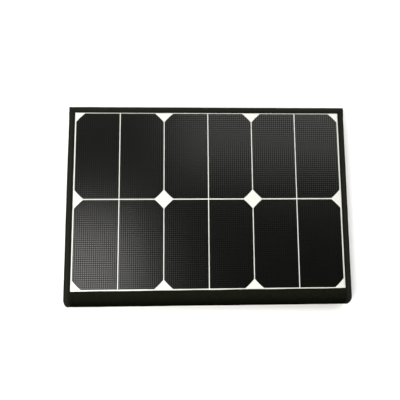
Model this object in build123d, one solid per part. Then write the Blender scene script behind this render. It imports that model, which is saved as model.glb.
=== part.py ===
from build123d import *

import os

# Folding portable solar panel: two stiff cell leaves joined by a fabric spine.
#
# Rest pose: folded shut and lying flat, cells outward. The front leaf is on top with its cells
# facing +Z, the rear leaf is under it with its cells facing -Z, and the spine wraps the -Y side.
# A zipped pocket on the inner side of the rear leaf holds the charge regulator.
# Origin: centre of the pack's footprint, on the surface that it lies on. Units: millimetres.
#
# A leaf's layers are placed by depth, measured inward from the leaf's outer face. The rear leaf's
# outer face is z = 0, so depth is z there. The front leaf is its mirror in the pack's mid plane.

# ---------------------------------------------------------------- driving dimensions
PACK_WIDTH = 405.0
PACK_THICKNESS = 24.0
FREE_EDGE_Y = 144.0
FOLD_RADIUS = PACK_THICKNESS / 2
HINGE_Y = FOLD_RADIUS - FREE_EDGE_Y  # where each leaf ends and the curved spine starts
SPLIT_GAP = 0.8  # clearance between a leaf and the rigid stand-in of the spine

CELL = 125.7
WAFER_DIAMETER = 160.9  # the round ingot that clips the cell's corners
CUT_GAP = 1.2  # between neighbouring half cells
ROW_GAP = 1.5
COLUMNS = 3
ROWS = 2
ARRAY_Y = 7.6  # centre of the cell array

BINDING_WIDTH = 9.1
BINDING_ROUND = 1.2
HEM_WIDTH = 11.4  # flat cloth between the window and the fold
HEM_LAP = 2.0  # from the laminate's end to the fold

BINDING = 0.7
FILM = 0.3
FRONT_ENCAPSULANT = 0.48
REAR_ENCAPSULANT = 0.42
WAFER = 0.18
RIBBON = 0.12
BACKSHEET = 0.3
STIFFENER = 2.0
BACK_FABRIC = 0.6
SPINE_FABRIC = 1.4  # doubled cloth

BUS_WIDTH = 5.0
BUS_INSET = 1.5  # from the cell's end
BUS_REACH = 25.0  # past a column's middle
TAB_WIDTH = 7.0
TAB_LENGTH = 12.0
TAB_SPREAD = 21.0
TERMINAL_FOIL = 0.5
TERMINAL_X = 14.0

LEAD_RADIUS = 0.9
LEAD_GROOVE = 1.0
LEAD_X = (-6.0, 6.0)
BLOCK_WIDTH = 36.0
BLOCK_Y = (-128.5, -119.5)
RISER_Y = 34.0
RISER_BEND = 2.8

POCKET_X = 105.0
POCKET_Y = (12.0, 118.0)
POCKET_TOP = 18.2
POCKET_CLOTH = 0.7
POCKET_FLANGE = 6.0
POCKET_CORNER = 14.0

ZIP_X = 98.0
TAPE = 0.6
TAPE_SLOT = 1.0  # between the two tapes
TOOTH_PITCH = 4.0
TOOTH_LENGTH = 1.6
TOOTH_HEIGHT = 2.0
TOOTH_REACH = 1.9
TOOTH_LAP = 0.6

SLIDER_X = 92.0
SLIDER_LENGTH = 9.0
SLIDER_WIDTH = 7.0
SLIDER_PLATE = 1.0
SLIDER_RIM = 0.8
SLIDER_CLEARANCE = 0.35
LUG = 1.0
LUG_RADIUS = 1.3
PIN_HEIGHT = 2.1  # pull pin's centre above the slider's plate
PIN_RADIUS = 0.6
PIN_CLEARANCE = 0.08
PULL_LENGTH = 20.0
PULL_WIDTH = 5.4
PULL_THICKNESS = 1.2
PULL_ROUND = 1.2
NECK_LENGTH = 7.0
NECK_GAP = 0.15

CASE_X = (-40.0, 40.0)
CASE_Y = (24.0, 74.0)
CASE_TOP = 17.2
CASE_SPLIT = 10.5
CASE_WALL = 1.2
CASE_ROUND = 3.0
CASE_CHAMFER = 0.5
BOARD = 1.1
BOARD_GAP = 0.8  # under the board
BOARD_CLEARANCE = 0.3
BOSS_RADIUS = 2.6
BOSS_INSET = 4.2
SCREW_RADIUS = 0.95
SCREW_HEAD_RADIUS = 1.9
SCREW_HEAD = 0.9
SOCKET_X = (-22.0, -2.0)
USB_WIDTH = 13.1
USB_HEIGHT = 5.72
USB_DEPTH = 14.0
USB_SHEET = 0.3
DC_X = 18.0
DC_WIDTH = 9.0
DC_HEIGHT = 7.1
DC_DEPTH = 12.0
DC_BORE_RADIUS = 2.85
DC_PIN_RADIUS = 1.0
DC_BORE_DEPTH = 9.5
DC_PIN_SETBACK = 1.0
TONGUE_WIDTH = 11.0
TONGUE = 1.8
TONGUE_SETBACK = 1.2  # behind the socket's mouth
TONGUE_GAP = 0.8  # under the shell's top
LAMP_X = 30.0
LAMP_HEIGHT = 3.2  # above the board
LAMP_RADIUS = 0.7
LAMP_GUIDE = 3.6  # the lens, from the case's face to the guide behind it
SOCKET_INSET = 0.2
WINDOW_FIT = 0.2

CHOKE_AT = (16.0, 42.0)
CHOKE_WIDTH = 12.0
CHOKE_HEIGHT = 6.0
CHOKE_ROUND = 2.0
CAPACITORS_AT = ((-26.0, 42.0), (-18.0, 42.0))
CAPACITOR_RADIUS = 3.1
CAPACITOR_HEIGHT = 6.4
CHIP_AT = (-1.0, 43.0)
CHIP_WIDTH = 6.0
CHIP_HEIGHT = 1.2
RESISTORS = 6
RESISTOR_PITCH = 3.2
RESISTORS_AT = (-9.2, 33.4)
RESISTOR_LENGTH = 1.6
RESISTOR_WIDTH = 0.8
RESISTOR_HEIGHT = 0.7

# ---------------------------------------------------------------- derived places
EDGE_X = PACK_WIDTH / 2
CORE_X = EDGE_X - BINDING  # edge of the layers inside the binding
WINDOW_X = EDGE_X - BINDING_WIDTH
WINDOW_TOP_Y = FREE_EDGE_Y - BINDING_WIDTH
WINDOW_BOTTOM_Y = HINGE_Y + HEM_WIDTH
LAMINATE_BOTTOM_Y = HINGE_Y + HEM_LAP

FILM_D = BINDING
ENCAPSULANT_D = FILM_D + FILM
WAFER_BACK_D = ENCAPSULANT_D + FRONT_ENCAPSULANT
BACKSHEET_D = WAFER_BACK_D + REAR_ENCAPSULANT
STIFFENER_D = BACKSHEET_D + BACKSHEET
BACK_FABRIC_D = STIFFENER_D + STIFFENER
BACK_D = BACK_FABRIC_D + BACK_FABRIC
LEAF_THICKNESS = BACK_D + BINDING
LEAD_D = STIFFENER_D + STIFFENER / 2

HALF_CELL = CELL / 2
COLUMN_PITCH = HALF_CELL + CUT_GAP
ARRAY_TOP_Y = ARRAY_Y + CELL + ROW_GAP / 2
ARRAY_BOTTOM_Y = ARRAY_Y - CELL - ROW_GAP / 2
TERMINAL_Y = sum(BLOCK_Y) / 2

ZIP_Z = (BACK_D + POCKET_TOP - POCKET_CLOTH) / 2
SLIDER_FACE_Y = POCKET_Y[1] + TOOTH_HEIGHT + SLIDER_CLEARANCE
PIN_Y = SLIDER_FACE_Y + SLIDER_PLATE + PIN_HEIGHT
EYE_WIDTH = SLIDER_WIDTH - 2 * LUG - 2 * NECK_GAP

BOARD_Z = (BACK_D + CASE_WALL + BOARD_GAP, BACK_D + CASE_WALL + BOARD_GAP + BOARD)
BOARD_TOP = BOARD_Z[1]
DC_AXIS_Z = BOARD_TOP + DC_HEIGHT / 2
LAMP_Z = BOARD_TOP + LAMP_HEIGHT


# ---------------------------------------------------------------- small helpers
def slab(x, y, z):
    """Box from three (low, high) pairs."""
    size = [high - low for low, high in (x, y, z)]
    middle = [(high + low) / 2 for low, high in (x, y, z)]
    return Pos(*middle) * Box(*size)


def about(middle, width):
    """The (low, high) pair of a span about its middle."""
    return (middle - width / 2, middle + width / 2)


def rod(start, radius, length, axis):
    """Round bar that starts at a point and runs along +X, +Y or +Z."""
    turn = {"x": Rot(0, 90, 0), "y": Rot(-90, 0, 0), "z": Rot(0, 0, 0)}[axis]
    bar = Cylinder(radius, length, align=(Align.CENTER, Align.CENTER, Align.MIN))
    return Pos(*start) * turn * bar


def group(solids):
    return Compound(children=list(solids))


def to_front(shape):
    """A piece of the rear leaf as the front leaf's."""
    middle = Plane.XY.offset(PACK_THICKNESS / 2)
    return group(solid.mirror(middle) for solid in shape.solids())


# ---------------------------------------------------------------- cells and their wiring
def column_x(column):
    """Middle of a column of half cells."""
    return (column - (2 * COLUMNS - 1) / 2) * COLUMN_PITCH


def row_y(row):
    """Middle of a row of cells, counted from the free edge."""
    return ARRAY_Y + ((ROWS - 1) / 2 - row) * (CELL + ROW_GAP)


def cell_halves(column, row):
    """One wafer cut into two halves, its corners clipped by the round ingot."""
    middle = (column_x(2 * column) + column_x(2 * column + 1)) / 2
    wafer = Rectangle(CELL, CELL) & Circle(WAFER_DIAMETER / 2)
    halves = []
    for side in (-1, 1):
        half = wafer & Pos(side * HALF_CELL / 2, 0) * Rectangle(HALF_CELL, CELL)
        place = Pos(middle + side * CUT_GAP / 2, row_y(row), WAFER_BACK_D - WAFER)
        halves.append(place * extrude(half, WAFER))
    return halves


def interconnect_tabs():
    """Three tabs in each column that carry the current from one row's cell to the other's."""
    z = (WAFER_BACK_D, WAFER_BACK_D + RIBBON)
    tabs = []
    for column in range(2 * COLUMNS):
        for step in (-1, 0, 1):
            x = column_x(column) + step * TAB_SPREAD
            tabs.append(slab(about(x, TAB_WIDTH), about(ARRAY_Y, TAB_LENGTH), z))
    return tabs


def bus_ribbons():
    """Ribbons behind the cell ends that join the columns into one string, and its terminals."""
    z = (WAFER_BACK_D, WAFER_BACK_D + RIBBON)
    top = (ARRAY_TOP_Y - BUS_INSET - BUS_WIDTH, ARRAY_TOP_Y - BUS_INSET)
    bottom = (ARRAY_BOTTOM_Y + BUS_INSET, ARRAY_BOTTOM_Y + BUS_INSET + BUS_WIDTH)
    ribbons = []
    for column in range(2 * COLUMNS - 1):
        x_span = (column_x(column) - BUS_REACH, column_x(column + 1) + BUS_REACH)
        ribbons.append(slab(x_span, bottom if column % 2 else top, z))
    for side in (-1, 1):
        outer_x = column_x(2 * COLUMNS - 1) + BUS_REACH
        x_span = sorted((side * outer_x, side * TERMINAL_X))
        strap = slab(x_span, about(TERMINAL_Y, BUS_WIDTH), z)
        for step in (-1, 0, 1):
            x = side * column_x(2 * COLUMNS - 1) + step * TAB_SPREAD
            strap += slab(about(x, BUS_WIDTH), (TERMINAL_Y, bottom[1]), z)
        ribbons.append(strap + terminal_foil(side))
    return ribbons


def terminal_foil(side):
    """The end of a terminal ribbon, turned through the backsheet into the junction block."""
    x_span = sorted((side * TERMINAL_X, side * (TERMINAL_X + TERMINAL_FOIL)))
    return slab(x_span, about(TERMINAL_Y, BUS_WIDTH), (WAFER_BACK_D, STIFFENER_D))


# ---------------------------------------------------------------- the layers of a leaf
def laminate_layer(depth, thickness):
    """A sheet of the laminate, out to the inside of the binding."""
    y_span = (LAMINATE_BOTTOM_Y, FREE_EDGE_Y - BINDING)
    return slab((-CORE_X, CORE_X), y_span, (depth, depth + thickness))


def encapsulant(cells, ribbons):
    """Two clear sheets: the first holds the wafers, the second the ribbons behind them."""
    front = laminate_layer(ENCAPSULANT_D, FRONT_ENCAPSULANT) - cells
    rear = laminate_layer(WAFER_BACK_D, REAR_ENCAPSULANT) - ribbons
    return group([front, rear])


def backsheet():
    """White sheet with a slit for each terminal foil."""
    return laminate_layer(BACKSHEET_D, BACKSHEET) - [terminal_foil(side) for side in (-1, 1)]


def stiffener():
    """Board that keeps the leaf flat, cut away for the junction block."""
    cut_y = (LAMINATE_BOTTOM_Y, BLOCK_Y[1])
    cut = slab(about(0, BLOCK_WIDTH), cut_y, (STIFFENER_D, BACK_FABRIC_D))
    return laminate_layer(STIFFENER_D, STIFFENER) - cut


def lead_grooves():
    """The grooves in the rear leaf's board for the leads to the regulator."""
    y_span = (BLOCK_Y[1], RISER_Y + LEAD_GROOVE)
    depth = (STIFFENER_D, BACK_FABRIC_D)
    return [slab(about(x, 2 * LEAD_GROOVE), y_span, depth) for x in LEAD_X]


def junction_block():
    """Low potted block where the terminals, the bypass diode and the leads meet."""
    return slab(about(0, BLOCK_WIDTH), BLOCK_Y, (STIFFENER_D, BACK_FABRIC_D))


def back_fabric():
    y_span = (HINGE_Y, FREE_EDGE_Y - BINDING)
    return slab((-CORE_X, CORE_X), y_span, (BACK_FABRIC_D, BACK_D))


def binding_profile():
    """The folded tape's section: X is inward from the edge, Y is depth."""
    middle = (BINDING_WIDTH / 2, LEAF_THICKNESS / 2)
    outside = Pos(*middle) * Rectangle(BINDING_WIDTH, LEAF_THICKNESS)
    outside = fillet(outside.vertices().sort_by(Axis.X)[:2], BINDING_ROUND)
    core = Rectangle(BINDING_WIDTH, BACK_D - BINDING)
    return outside - Pos(middle[0] + BINDING, middle[1]) * core


def side_binding(side):
    """Tape round a leaf's left (-1) or right (+1) edge, up to the free edge's own tape."""
    start = Plane((side * EDGE_X, HINGE_Y, 0), x_dir=(-side, 0, 0), z_dir=(0, side, 0))
    return extrude(start * binding_profile(), side * (WINDOW_TOP_Y - HINGE_Y))


def end_binding():
    """Tape round the leaf's free edge, right across."""
    start = Plane((-EDGE_X, FREE_EDGE_Y, 0), x_dir=(0, -1, 0), z_dir=(-1, 0, 0))
    return extrude(start * binding_profile(), -PACK_WIDTH)


def hinge_hem():
    """The spine's cloth where it lies flat on the leaf and is sewn to the laminate."""
    hem = slab((-WINDOW_X, WINDOW_X), (HINGE_Y, WINDOW_BOTTOM_Y), (0, BINDING))
    return hem + slab((-CORE_X, CORE_X), (HINGE_Y, LAMINATE_BOTTOM_Y), (BINDING, SPINE_FABRIC))


# ---------------------------------------------------------------- the spine
def half_ring(outer, inner, x_span):
    """A half tube on the -Y side of the fold's centre line."""
    start = Plane((x_span[0], HINGE_Y, FOLD_RADIUS), x_dir=(0, 1, 0), z_dir=(1, 0, 0))
    keep = Pos(-outer - SPLIT_GAP, 0) * Rectangle(2 * outer, 2 * outer)
    section = (Circle(outer) - Circle(inner)) & keep
    return extrude(start * section, x_span[1] - x_span[0])


def spine_fabric():
    outer = FOLD_RADIUS
    cloth = half_ring(outer, outer - SPINE_FABRIC, (-WINDOW_X, WINDOW_X))
    return cloth + half_ring(outer - BINDING, outer - SPINE_FABRIC, (-CORE_X, CORE_X))


def spine_lining():
    return half_ring(FOLD_RADIUS - BACK_FABRIC_D, FOLD_RADIUS - BACK_D, (-CORE_X, CORE_X))


def spine_binding(side):
    """The side tape where it runs round the fold."""
    inner = FOLD_RADIUS - LEAF_THICKNESS
    lap = sorted((side * WINDOW_X, side * CORE_X))
    tape = half_ring(FOLD_RADIUS, FOLD_RADIUS - BINDING, lap)
    tape += half_ring(inner + BINDING, inner, lap)
    return tape + half_ring(FOLD_RADIUS, inner, sorted((side * CORE_X, side * EDGE_X)))


def jumper_leads():
    """Two leads from one leaf's junction block, round the fold, to the other's."""
    far = PACK_THICKNESS - LEAD_D
    bulge_y = HINGE_Y - FOLD_RADIUS + LEAD_D
    leads = []
    for x in LEAD_X:
        start = (x, BLOCK_Y[0], LEAD_D)
        path = Line(start, (x, HINGE_Y, LEAD_D))
        path += ThreePointArc((x, HINGE_Y, LEAD_D), (x, bulge_y, FOLD_RADIUS), (x, HINGE_Y, far))
        path += Line((x, HINGE_Y, far), (x, BLOCK_Y[0], far))
        section = Plane(start, x_dir=(1, 0, 0), z_dir=(0, -1, 0)) * Circle(LEAD_RADIUS)
        leads.append(sweep(section, path))
    return leads


# ---------------------------------------------------------------- pocket and zip
def pocket_plan(grow):
    """The pocket's plan, rounded at the two corners away from the zip."""
    width = 2 * (POCKET_X + grow)
    depth = POCKET_Y[1] - POCKET_Y[0] + grow
    plan = Pos(0, POCKET_Y[1] - depth / 2) * Rectangle(width, depth)
    return fillet(plan.vertices().sort_by(Axis.Y)[:2], POCKET_CORNER + grow)


def pocket_panel():
    return Pos(0, 0, POCKET_TOP - POCKET_CLOTH) * extrude(pocket_plan(0), POCKET_CLOTH)


def pocket_gusset():
    """The pocket's side wall on three sides, with a flange that is sewn to the leaf."""
    height = POCKET_TOP - POCKET_CLOTH - BACK_D
    wall = extrude(pocket_plan(0), height) + extrude(pocket_plan(POCKET_FLANGE), POCKET_CLOTH)
    return Pos(0, 0, BACK_D) * (wall - extrude(pocket_plan(-POCKET_CLOTH), height))


def zip_tape(z_span):
    """One of the two tapes that close the pocket's mouth."""
    reach = POCKET_X - POCKET_CLOTH
    return slab((-reach, reach), (POCKET_Y[1] - TAPE, POCKET_Y[1]), z_span)


def zip_teeth():
    """Moulded teeth that reach from the lower and the upper tape by turns."""
    y_span = (POCKET_Y[1], POCKET_Y[1] + TOOTH_HEIGHT)
    from_lower = (ZIP_Z - TOOTH_REACH, ZIP_Z + TOOTH_LAP)
    from_upper = (ZIP_Z - TOOTH_LAP, ZIP_Z + TOOTH_REACH)
    teeth = []
    for index in range(int(2 * ZIP_X / TOOTH_PITCH)):
        x = -ZIP_X + index * TOOTH_PITCH
        teeth.append(slab((x, x + TOOTH_LENGTH), y_span, from_lower))
        x += TOOTH_PITCH / 2
        teeth.append(slab((x, x + TOOTH_LENGTH), y_span, from_upper))
    return teeth


def zip_slider():
    """Outer plate with its rims, the lugs and pin that hold the pull, and the inner plate."""
    x_span = about(SLIDER_X, SLIDER_LENGTH)
    low = ZIP_Z - SLIDER_WIDTH / 2
    high = ZIP_Z + SLIDER_WIDTH / 2
    outer = slab(x_span, (SLIDER_FACE_Y, SLIDER_FACE_Y + SLIDER_PLATE), (low, high))
    rim_y = (POCKET_Y[1] + SLIDER_CLEARANCE, SLIDER_FACE_Y)
    for rim_low in (low, high - SLIDER_RIM):
        outer += slab(x_span, rim_y, (rim_low, rim_low + SLIDER_RIM))
    for lug_low in (low, high - LUG):
        lug_z = (lug_low, lug_low + LUG)
        outer += slab(about(SLIDER_X, 2 * LUG_RADIUS), (SLIDER_FACE_Y, PIN_Y), lug_z)
        outer += rod((SLIDER_X, PIN_Y, lug_low), LUG_RADIUS, LUG, "z")
    outer += rod((SLIDER_X, PIN_Y, low), PIN_RADIUS, SLIDER_WIDTH, "z")
    back_y = POCKET_Y[1] - TAPE - SLIDER_CLEARANCE
    return [outer, slab(x_span, (back_y - SLIDER_PLATE, back_y), (low, high))]


def zip_pull():
    """Flat tab with a neck and a round eye that hangs on the slider's pin."""
    low = ZIP_Z - EYE_WIDTH / 2
    z_span = (low, low + EYE_WIDTH)
    y_span = about(PIN_Y, PULL_THICKNESS)
    eye = rod((SLIDER_X, PIN_Y, low), LUG_RADIUS, EYE_WIDTH, "z")
    neck = slab((SLIDER_X - NECK_LENGTH, SLIDER_X), y_span, z_span)
    tab_x = (SLIDER_X - PULL_LENGTH, SLIDER_X - NECK_LENGTH + PULL_ROUND)
    tab = slab(tab_x, y_span, about(ZIP_Z, PULL_WIDTH))
    tab = fillet(tab.edges().filter_by(Axis.Y), PULL_ROUND)
    return eye + neck + tab - rod((SLIDER_X, PIN_Y, low), PIN_RADIUS + PIN_CLEARANCE, EYE_WIDTH, "z")


# ---------------------------------------------------------------- charge regulator
def boss_places():
    xs = (CASE_X[0] + BOSS_INSET, CASE_X[1] - BOSS_INSET)
    ys = (CASE_Y[0] + BOSS_INSET, CASE_Y[1] - BOSS_INSET)
    return [(x, y) for x in xs for y in ys]


def case_shell(z_span, cavity_z):
    """The case's outside between two heights, less its cavity."""
    body = slab(CASE_X, CASE_Y, z_span)
    body = fillet(body.edges().filter_by(Axis.Z), CASE_ROUND)
    x_span = (CASE_X[0] + CASE_WALL, CASE_X[1] - CASE_WALL)
    y_span = (CASE_Y[0] + CASE_WALL, CASE_Y[1] - CASE_WALL)
    return body - slab(x_span, y_span, cavity_z)


def socket_windows():
    """The holes for the sockets and the lamp in the case's +Y wall."""
    y_span = (CASE_Y[1] - 2 * CASE_WALL, CASE_Y[1] + CASE_WALL)
    usb_z = (BOARD_TOP, BOARD_TOP + USB_HEIGHT + WINDOW_FIT)
    holes = [slab(about(x, USB_WIDTH + 2 * WINDOW_FIT), y_span, usb_z) for x in SOCKET_X]
    dc_z = (BOARD_TOP, BOARD_TOP + DC_HEIGHT + WINDOW_FIT)
    holes.append(slab(about(DC_X, DC_WIDTH + 2 * WINDOW_FIT), y_span, dc_z))
    holes.append(rod((LAMP_X, y_span[0], LAMP_Z), LAMP_RADIUS + WINDOW_FIT, 4 * CASE_WALL, "y"))
    return holes


def riser_slots(z_span):
    """The slots through which the leads rise into the case."""
    y_span = (RISER_Y - RISER_BEND - LEAD_GROOVE, RISER_Y + LEAD_GROOVE)
    return [slab(about(x, 2 * LEAD_GROOVE), y_span, z_span) for x in LEAD_X]


def case_base():
    floor = BACK_D + CASE_WALL
    base = case_shell((BACK_D, CASE_SPLIT), (floor, CASE_SPLIT))
    for x, y in boss_places():
        base += rod((x, y, floor), BOSS_RADIUS, CASE_SPLIT - floor, "z")
    for x, y in boss_places():
        base -= rod((x, y, floor), SCREW_RADIUS, CASE_SPLIT - floor, "z")
    return base - socket_windows() - riser_slots((BACK_D, floor))


def case_cover():
    ceiling = CASE_TOP - CASE_WALL
    cover = case_shell((CASE_SPLIT, CASE_TOP), (CASE_SPLIT, ceiling))
    rim = cover.faces().sort_by(Axis.Z)[-1].outer_wire().edges()
    cover = chamfer(rim, CASE_CHAMFER)
    for x, y in boss_places():
        cover += rod((x, y, CASE_SPLIT), BOSS_RADIUS, ceiling - CASE_SPLIT, "z")
    for x, y in boss_places():
        cover -= rod((x, y, CASE_SPLIT), SCREW_RADIUS, CASE_TOP - CASE_SPLIT, "z")
        cover -= rod((x, y, CASE_TOP - SCREW_HEAD), SCREW_HEAD_RADIUS, SCREW_HEAD, "z")
    return cover - socket_windows()


def case_screws():
    """Four pan-head screws with a cross recess."""
    floor = BACK_D + CASE_WALL
    neck = CASE_TOP - SCREW_HEAD
    recess_z = (CASE_TOP - SCREW_HEAD * 2 / 3, CASE_TOP)
    long_way = 1.3 * SCREW_HEAD_RADIUS
    narrow = 0.3 * SCREW_HEAD_RADIUS
    screws = []
    for x, y in boss_places():
        screw = rod((x, y, floor), SCREW_RADIUS, neck - floor, "z")
        screw += rod((x, y, neck), SCREW_HEAD_RADIUS, SCREW_HEAD, "z")
        screw -= slab(about(x, long_way), about(y, narrow), recess_z)
        screw -= slab(about(x, narrow), about(y, long_way), recess_z)
        screws.append(screw)
    return screws


def circuit_board():
    """Board notched at its corners, round the case's screw bosses."""
    inset = CASE_WALL + BOARD_CLEARANCE
    x_span = (CASE_X[0] + inset, CASE_X[1] - inset)
    y_span = (CASE_Y[0] + inset, CASE_Y[1] - inset)
    board = slab(x_span, y_span, BOARD_Z)
    notch = BOSS_INSET + BOSS_RADIUS + BOARD_CLEARANCE
    for side_x, edge_x in zip((1, -1), CASE_X):
        for side_y, edge_y in zip((1, -1), CASE_Y):
            notch_x = sorted((edge_x, edge_x + side_x * notch))
            notch_y = sorted((edge_y, edge_y + side_y * notch))
            board -= slab(notch_x, notch_y, BOARD_Z)
    return board


def on_board(place, length, width, height):
    """A block that stands on the board, about a place."""
    return slab(about(place[0], length), about(place[1], width), (BOARD_TOP, BOARD_TOP + height))


def board_components():
    """Choke, two capacitors, the switching chip and a row of resistors."""
    choke = on_board(CHOKE_AT, CHOKE_WIDTH, CHOKE_WIDTH, CHOKE_HEIGHT)
    choke = fillet(choke.edges().filter_by(Axis.Z), CHOKE_ROUND)
    cans = [rod((x, y, BOARD_TOP), CAPACITOR_RADIUS, CAPACITOR_HEIGHT, "z") for x, y in CAPACITORS_AT]
    chip = on_board(CHIP_AT, CHIP_WIDTH, CHIP_WIDTH, CHIP_HEIGHT)
    resistors = []
    for index in range(RESISTORS):
        place = (RESISTORS_AT[0] + RESISTOR_PITCH * index, RESISTORS_AT[1])
        resistors.append(on_board(place, RESISTOR_LENGTH, RESISTOR_WIDTH, RESISTOR_HEIGHT))
    return [choke, *cans, chip, *resistors]


def usb_socket(x):
    """A USB-A socket's folded shell and its tongue."""
    mouth = CASE_Y[1] - SOCKET_INSET
    y_span = (mouth - USB_DEPTH, mouth)
    top = BOARD_TOP + USB_HEIGHT
    hollow_z = (BOARD_TOP + USB_SHEET, top - USB_SHEET)
    hollow_y = (y_span[0] + USB_SHEET, mouth)
    shell = slab(about(x, USB_WIDTH), y_span, (BOARD_TOP, top))
    shell -= slab(about(x, USB_WIDTH - 2 * USB_SHEET), hollow_y, hollow_z)
    tongue_y = (hollow_y[0], mouth - TONGUE_SETBACK)
    tongue = slab(about(x, TONGUE_WIDTH), tongue_y, (top - TONGUE_GAP - TONGUE, top - TONGUE_GAP))
    return [shell, tongue]


def dc_socket():
    """A barrel socket: moulded body with a round mouth and a centre pin."""
    mouth = CASE_Y[1] - SOCKET_INSET
    root = (DC_X, mouth - DC_BORE_DEPTH, DC_AXIS_Z)
    body = slab(about(DC_X, DC_WIDTH), (mouth - DC_DEPTH, mouth), (BOARD_TOP, BOARD_TOP + DC_HEIGHT))
    body -= rod(root, DC_BORE_RADIUS, DC_BORE_DEPTH, "y")
    return [body, rod(root, DC_PIN_RADIUS, DC_BORE_DEPTH - DC_PIN_SETBACK, "y")]


def status_lamp():
    """Lamp lens in the case's wall, on a bent light guide from the board."""
    back_y = CASE_Y[1] - LAMP_GUIDE
    lens = rod((LAMP_X, back_y, LAMP_Z), LAMP_RADIUS, LAMP_GUIDE - SOCKET_INSET, "y")
    foot_z = (BOARD_TOP, LAMP_Z + LAMP_RADIUS)
    return lens + slab(about(LAMP_X, 2 * LAMP_RADIUS), (back_y - 2 * LAMP_RADIUS, back_y), foot_z)


def regulator_leads():
    """Two leads from the rear leaf's junction block, through its board, up into the case."""
    leads = []
    for x in LEAD_X:
        corner = (x, RISER_Y, LEAD_D)
        start = (x, BLOCK_Y[1], LEAD_D)
        path = FilletPolyline(start, corner, (x, RISER_Y, BOARD_Z[0]), radius=RISER_BEND)
        section = Plane(start, x_dir=(1, 0, 0), z_dir=(0, 1, 0)) * Circle(LEAD_RADIUS)
        leads.append(sweep(section, path))
    return leads


# ---------------------------------------------------------------- assembly
def leaf_nodes():
    """A leaf's pieces, placed as the rear leaf's."""
    cells = {}
    for row in range(ROWS):
        for column in range(COLUMNS):
            cells[f"cell_{row * COLUMNS + column + 1}"] = cell_halves(column, row)
    tabs = interconnect_tabs()
    ribbons = bus_ribbons()
    halves = [half for pair in cells.values() for half in pair]
    return {
        "film": laminate_layer(FILM_D, FILM),
        "encapsulant": encapsulant(halves, tabs + ribbons),
        **{name: group(pair) for name, pair in cells.items()},
        "interconnect_tabs": group(tabs),
        "bus_ribbons": group(ribbons),
        "backsheet": backsheet(),
        "stiffener": stiffener(),
        "junction_block": junction_block(),
        "back_fabric": back_fabric(),
        "binding_left": side_binding(-1),
        "binding_right": side_binding(1),
        "binding_end": end_binding(),
        "hinge_hem": hinge_hem(),
    }


def spine_nodes():
    return {
        "spine_fabric": spine_fabric(),
        "spine_lining": spine_lining(),
        "spine_binding_left": spine_binding(-1),
        "spine_binding_right": spine_binding(1),
        "jumper_leads": group(jumper_leads()),
    }


def pocket_nodes():
    return {
        "pocket_panel": pocket_panel(),
        "pocket_gusset": pocket_gusset(),
        "zip_tape_lower": zip_tape((BACK_D, ZIP_Z - TAPE_SLOT / 2)),
        "zip_tape_upper": zip_tape((ZIP_Z + TAPE_SLOT / 2, POCKET_TOP - POCKET_CLOTH)),
        "zip_teeth": group(zip_teeth()),
        "zip_slider": group(zip_slider()),
        "zip_pull": zip_pull(),
    }


def regulator_nodes():
    return {
        "regulator_base": case_base(),
        "regulator_cover": case_cover(),
        "regulator_screws": group(case_screws()),
        "circuit_board": circuit_board(),
        "board_components": group(board_components()),
        "usb_socket_1": group(usb_socket(SOCKET_X[0])),
        "usb_socket_2": group(usb_socket(SOCKET_X[1])),
        "dc_socket": group(dc_socket()),
        "status_lamp": status_lamp(),
        "regulator_leads": group(regulator_leads()),
    }


def all_nodes():
    leaf = leaf_nodes()
    nodes = {f"front_{name}": to_front(shape) for name, shape in leaf.items()}
    nodes.update({f"rear_{name}": shape for name, shape in leaf.items()})
    nodes["rear_stiffener"] = stiffener() - lead_grooves()
    nodes["rear_back_fabric"] = back_fabric() - riser_slots((BACK_FABRIC_D, BACK_D))
    return {**nodes, **spine_nodes(), **pocket_nodes(), **regulator_nodes()}


os.makedirs("parts", exist_ok=True)
for node, solid in all_nodes().items():
    export_step(solid, f"parts/{node}.step")
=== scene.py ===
from math import cos, exp, pi, sin, sqrt

import bmesh
import bpy
from mathutils import Matrix, Vector, noise


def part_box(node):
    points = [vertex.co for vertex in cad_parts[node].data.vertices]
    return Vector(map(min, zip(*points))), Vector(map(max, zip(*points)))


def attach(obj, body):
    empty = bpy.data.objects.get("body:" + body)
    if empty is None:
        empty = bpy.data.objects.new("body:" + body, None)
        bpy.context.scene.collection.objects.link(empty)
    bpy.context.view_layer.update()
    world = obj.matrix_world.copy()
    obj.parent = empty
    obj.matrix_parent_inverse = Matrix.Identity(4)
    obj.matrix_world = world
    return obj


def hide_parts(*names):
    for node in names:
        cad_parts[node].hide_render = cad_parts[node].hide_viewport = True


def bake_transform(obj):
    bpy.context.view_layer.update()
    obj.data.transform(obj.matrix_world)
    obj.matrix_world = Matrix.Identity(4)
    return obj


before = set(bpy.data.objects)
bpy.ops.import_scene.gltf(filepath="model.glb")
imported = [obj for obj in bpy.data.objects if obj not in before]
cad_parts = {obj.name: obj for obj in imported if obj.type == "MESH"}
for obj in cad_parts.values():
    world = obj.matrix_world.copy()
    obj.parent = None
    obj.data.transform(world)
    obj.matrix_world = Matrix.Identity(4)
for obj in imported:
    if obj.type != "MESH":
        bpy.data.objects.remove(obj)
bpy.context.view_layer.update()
MM = 0.001

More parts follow.
